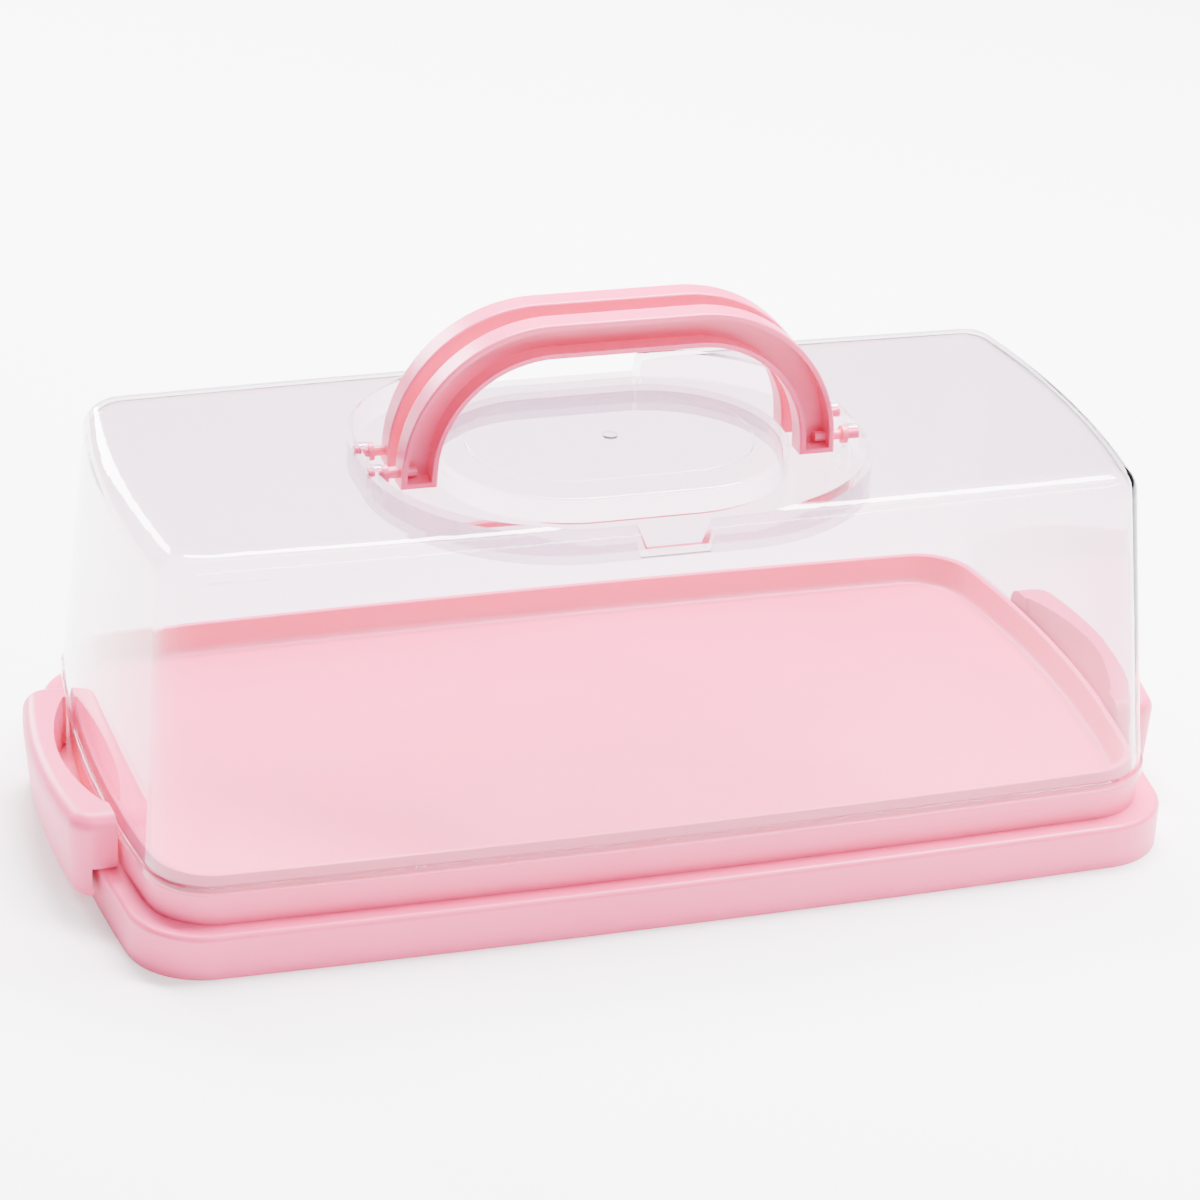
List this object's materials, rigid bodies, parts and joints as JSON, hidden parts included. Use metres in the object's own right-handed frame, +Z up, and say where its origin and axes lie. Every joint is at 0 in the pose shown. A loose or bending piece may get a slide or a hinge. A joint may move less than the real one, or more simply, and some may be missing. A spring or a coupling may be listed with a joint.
{
  "type": "bread box",
  "caption": "Long loaf keeper with a pink tray, a clear domed lid that lifts off, twin folding carry handles in the lid's recess and a swinging latch at each end.",
  "frame": {"origin": "centre of the tray's footprint, on the surface it stands on", "axes": "+X along the loaf to the viewer's right, +Y to the back, +Z up"},
  "size_m": [0.366, 0.186, 0.167],
  "materials": {
    "tray_pink": "satin moulded",
    "lid_clear": "clear moulded",
    "handle_pink": "satin moulded",
    "latch_pink": "satin moulded"
  },
  "bodies": {
    "tray": {"base_tray": "tray_pink"},
    "lid": {"lid": "lid_clear"},
    "handle_front": {"handle_front": "handle_pink"},
    "handle_rear": {"handle_rear": "handle_pink"},
    "latch_left": {"latch_left": "latch_pink"},
    "latch_right": {"latch_right": "latch_pink"}
  },
  "joints": [
    {"name": "lid_lift", "type": "slide", "parent": "tray", "child": "lid", "axis": [0, 0, 1], "range_m": [0, 0.14]},
    {"name": "handle_front_fold", "type": "hinge", "parent": "lid", "child": "handle_front", "pos_m": [0, -0.0086, 0.1206], "axis": [1, 0, 0], "range_deg": [0, 90]},
    {"name": "handle_rear_fold", "type": "hinge", "parent": "lid", "child": "handle_rear", "pos_m": [0, 0.0086, 0.1206], "axis": [-1, 0, 0], "range_deg": [0, 90]},
    {"name": "latch_right_swing", "type": "hinge", "parent": "tray", "child": "latch_right", "pos_m": [0.1749, 0, 0.007], "axis": [0, 1, 0], "range_deg": [0, 60]},
    {"name": "latch_left_swing", "type": "hinge", "parent": "tray", "child": "latch_left", "pos_m": [-0.1749, 0, 0.007], "axis": [0, -1, 0], "range_deg": [0, 60]}
  ]
}
